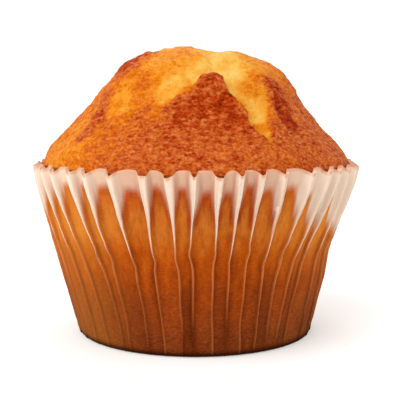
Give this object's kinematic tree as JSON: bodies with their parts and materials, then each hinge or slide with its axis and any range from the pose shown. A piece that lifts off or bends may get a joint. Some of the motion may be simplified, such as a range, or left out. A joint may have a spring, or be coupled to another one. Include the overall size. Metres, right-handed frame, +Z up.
{
  "type": "muffin in paper case",
  "caption": "Plain golden muffin with a tall cracked crown, standing in a pleated white paper case.",
  "frame": {"origin": "middle of the paper case's flat underside", "axes": "+Z up out of the crown; -Y towards the muffin's front, the side with the front flap; +X to the right seen from the front"},
  "size_m": [0.0699, 0.07, 0.0612],
  "materials": {
    "crust": "golden brown baked crust, fine grained and matte, paler yellow where it cracked open",
    "paper": "thin greaseproof baking paper, white where it stands free and orange brown where it lies on the cake"
  },
  "bodies": {
    "root": {"cake": "crust", "paper_case": "paper"}
  },
  "joints": []
}
